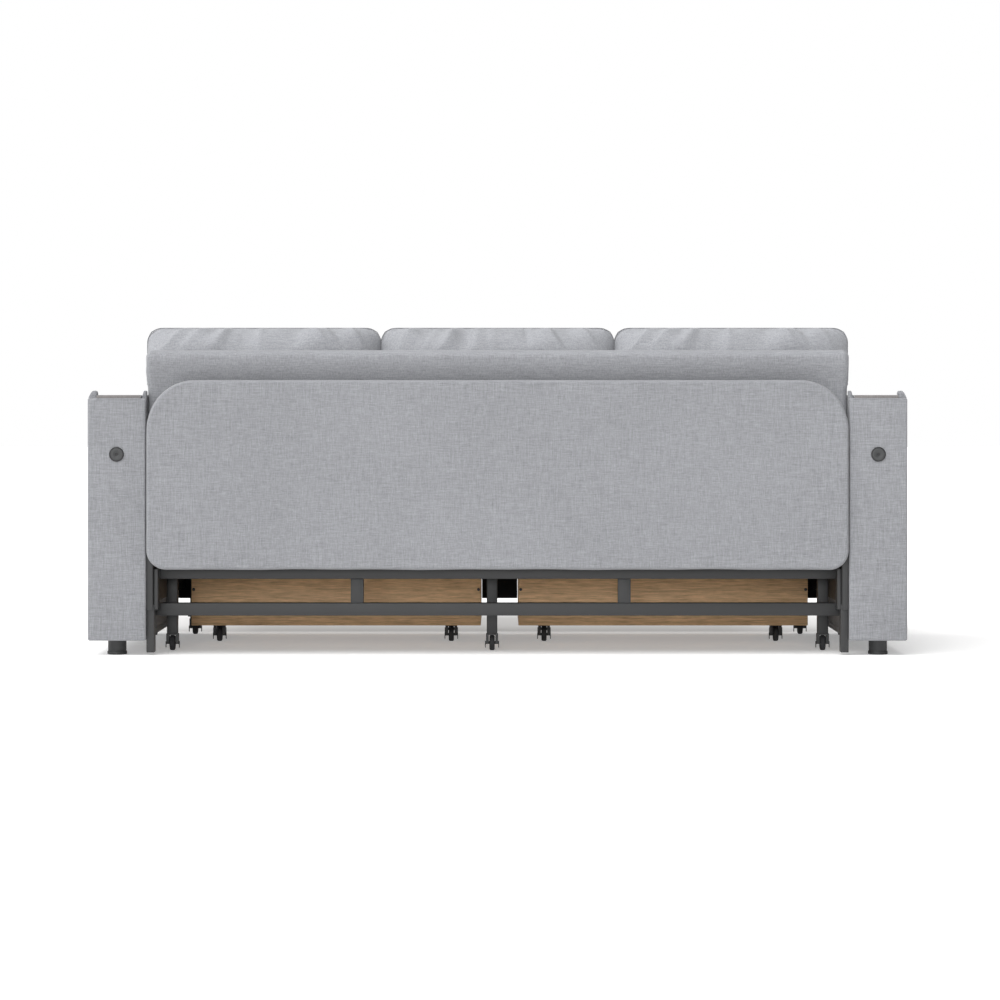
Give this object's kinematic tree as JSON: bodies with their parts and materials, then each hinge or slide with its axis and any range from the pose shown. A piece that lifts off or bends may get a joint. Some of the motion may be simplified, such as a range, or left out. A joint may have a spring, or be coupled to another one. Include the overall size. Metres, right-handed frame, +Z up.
{
  "type": "sleeper sofa",
  "caption": "Sleeper sofa with loose back cushions, a fold-out mattress on a rolling slatted carriage, lidded storage arms and under-seat drawers on casters.",
  "frame": {"origin": "on the floor, under the middle of the whole sofa", "axes": "+Z up, +Y towards the back, -Y towards the sitter's front, +X towards the sitter's left"},
  "size_m": [2.11, 0.9, 0.85],
  "materials": {
    "linen": "heathered grey linen weave",
    "cushion_linen": "heathered grey linen weave, padded",
    "frame_steel": "satin powder coat, dark grey",
    "oak": "matt oak, grain along its length",
    "slat_wood": "plain slats, matt",
    "dark_plastic": "matt, moulded",
    "grey_plastic": "matt, moulded",
    "wheel_rubber": "matt tread"
  },
  "bodies": {
    "base": {"arm_box_left": "linen", "arm_outer_panel_left": "linen", "arm_inner_panel_left": "linen", "arm_cap_left": "grey_plastic", "foot_rear_left": "dark_plastic", "foot_front_left": "dark_plastic", "arm_box_right": "linen", "arm_outer_panel_right": "linen", "arm_inner_panel_right": "linen", "arm_cap_right": "grey_plastic", "foot_rear_right": "dark_plastic", "foot_front_right": "dark_plastic", "side_frame_left": "frame_steel", "side_frame_right": "frame_steel", "rear_rail_upper": "frame_steel", "rear_rail_lower": "frame_steel", "rear_strut_left": "frame_steel", "rear_strut_right": "frame_steel", "rear_cover": "linen", "backrest": "linen", "back_cushion_left": "cushion_linen", "back_cushion_middle": "cushion_linen", "back_cushion_right": "cushion_linen", "fixed_deck": "slat_wood", "mattress_lower": "cushion_linen"},
    "lid_left": {"arm_lid_left": "linen"},
    "lid_right": {"arm_lid_right": "linen"},
    "mattress_fold": {"mattress_upper": "cushion_linen"},
    "carriage": {"carriage_rail_left": "frame_steel", "carriage_rail_right": "frame_steel", "carriage_rail_rear": "frame_steel", "carriage_rail_front": "frame_steel", "carriage_deck": "slat_wood", "apron": "linen", "carriage_leg_rear_left": "frame_steel", "carriage_leg_rear_centre": "frame_steel", "carriage_leg_rear_right": "frame_steel", "carriage_leg_front_left": "frame_steel", "carriage_leg_front_right": "frame_steel"},
    "carriage_roller_rear_left": {"carriage_wheel_rear_left": "wheel_rubber"},
    "carriage_roller_rear_centre": {"carriage_wheel_rear_centre": "wheel_rubber"},
    "carriage_roller_rear_right": {"carriage_wheel_rear_right": "wheel_rubber"},
    "carriage_roller_front_left": {"carriage_wheel_front_left": "wheel_rubber"},
    "carriage_roller_front_right": {"carriage_wheel_front_right": "wheel_rubber"},
    "drawer_left": {"drawer_box_left": "oak", "drawer_front_left": "oak", "drawer_runner_inner_left": "frame_steel", "drawer_runner_outer_left": "frame_steel"},
    "drawer_left_roller_inner_rear": {"drawer_wheel_inner_rear_left": "wheel_rubber"},
    "drawer_left_roller_inner_front": {"drawer_wheel_inner_front_left": "wheel_rubber"},
    "drawer_left_roller_outer_rear": {"drawer_wheel_outer_rear_left": "wheel_rubber"},
    "drawer_left_roller_outer_front": {"drawer_wheel_outer_front_left": "wheel_rubber"},
    "drawer_right": {"drawer_box_right": "oak", "drawer_front_right": "oak", "drawer_runner_inner_right": "frame_steel", "drawer_runner_outer_right": "frame_steel"},
    "drawer_right_roller_inner_rear": {"drawer_wheel_inner_rear_right": "wheel_rubber"},
    "drawer_right_roller_inner_front": {"drawer_wheel_inner_front_right": "wheel_rubber"},
    "drawer_right_roller_outer_rear": {"drawer_wheel_outer_rear_right": "wheel_rubber"},
    "drawer_right_roller_outer_front": {"drawer_wheel_outer_front_right": "wheel_rubber"}
  },
  "joints": [
    {"name": "bed_slide", "type": "slide", "parent": "base", "child": "carriage", "axis": [0, -1, 0], "range_m": [0, 0.62]},
    {"name": "mattress_hinge", "type": "hinge", "parent": "base", "child": "mattress_fold", "pos_m": [0, -0.4505, 0.3413], "axis": [1, 0, 0], "range_deg": [0, 180]},
    {"name": "drawer_left_slide", "type": "slide", "parent": "base", "child": "drawer_left", "axis": [0, -1, 0], "range_m": [0, 0.38]},
    {"name": "drawer_right_slide", "type": "slide", "parent": "base", "child": "drawer_right", "axis": [0, -1, 0], "range_m": [0, 0.38]},
    {"name": "lid_left_hinge", "type": "hinge", "parent": "base", "child": "lid_left", "pos_m": [1.032, 0, 0.6707], "axis": [0, 1, 0], "range_deg": [0, 85]},
    {"name": "lid_right_hinge", "type": "hinge", "parent": "base", "child": "lid_right", "pos_m": [-1.032, 0, 0.6707], "axis": [0, -1, 0], "range_deg": [0, 85]},
    {"name": "carriage_roll_rear_left", "type": "hinge", "parent": "carriage", "child": "carriage_roller_rear_left", "pos_m": [0.8556, 0.236, 0.02], "axis": [1, 0, 0], "continuous": true},
    {"name": "carriage_roll_rear_centre", "type": "hinge", "parent": "carriage", "child": "carriage_roller_rear_centre", "pos_m": [0.0145, 0.236, 0.02], "axis": [1, 0, 0], "continuous": true},
    {"name": "carriage_roll_rear_right", "type": "hinge", "parent": "carriage", "child": "carriage_roller_rear_right", "pos_m": [-0.8556, 0.236, 0.02], "axis": [1, 0, 0], "continuous": true},
    {"name": "carriage_roll_front_left", "type": "hinge", "parent": "carriage", "child": "carriage_roller_front_left", "pos_m": [0.8556, -0.4157, 0.02], "axis": [1, 0, 0], "continuous": true},
    {"name": "carriage_roll_front_right", "type": "hinge", "parent": "carriage", "child": "carriage_roller_front_right", "pos_m": [-0.8556, -0.4157, 0.02], "axis": [1, 0, 0], "continuous": true},
    {"name": "drawer_left_roll_inner_rear", "type": "hinge", "parent": "drawer_left", "child": "drawer_left_roller_inner_rear", "pos_m": [0.127, -0.122, 0.019], "axis": [1, 0, 0], "continuous": true},
    {"name": "drawer_left_roll_inner_front", "type": "hinge", "parent": "drawer_left", "child": "drawer_left_roller_inner_front", "pos_m": [0.1303, -0.354, 0.019], "axis": [1, 0, 0], "continuous": true},
    {"name": "drawer_left_roll_outer_rear", "type": "hinge", "parent": "drawer_left", "child": "drawer_left_roller_outer_rear", "pos_m": [0.762, -0.122, 0.019], "axis": [1, 0, 0], "continuous": true},
    {"name": "drawer_left_roll_outer_front", "type": "hinge", "parent": "drawer_left", "child": "drawer_left_roller_outer_front", "pos_m": [0.7815, -0.354, 0.019], "axis": [1, 0, 0], "continuous": true},
    {"name": "drawer_right_roll_inner_rear", "type": "hinge", "parent": "drawer_right", "child": "drawer_right_roller_inner_rear", "pos_m": [-0.127, -0.122, 0.019], "axis": [1, 0, 0], "continuous": true},
    {"name": "drawer_right_roll_inner_front", "type": "hinge", "parent": "drawer_right", "child": "drawer_right_roller_inner_front", "pos_m": [-0.1303, -0.354, 0.019], "axis": [1, 0, 0], "continuous": true},
    {"name": "drawer_right_roll_outer_rear", "type": "hinge", "parent": "drawer_right", "child": "drawer_right_roller_outer_rear", "pos_m": [-0.762, -0.122, 0.019], "axis": [1, 0, 0], "continuous": true},
    {"name": "drawer_right_roll_outer_front", "type": "hinge", "parent": "drawer_right", "child": "drawer_right_roller_outer_front", "pos_m": [-0.7815, -0.354, 0.019], "axis": [1, 0, 0], "continuous": true}
  ]
}
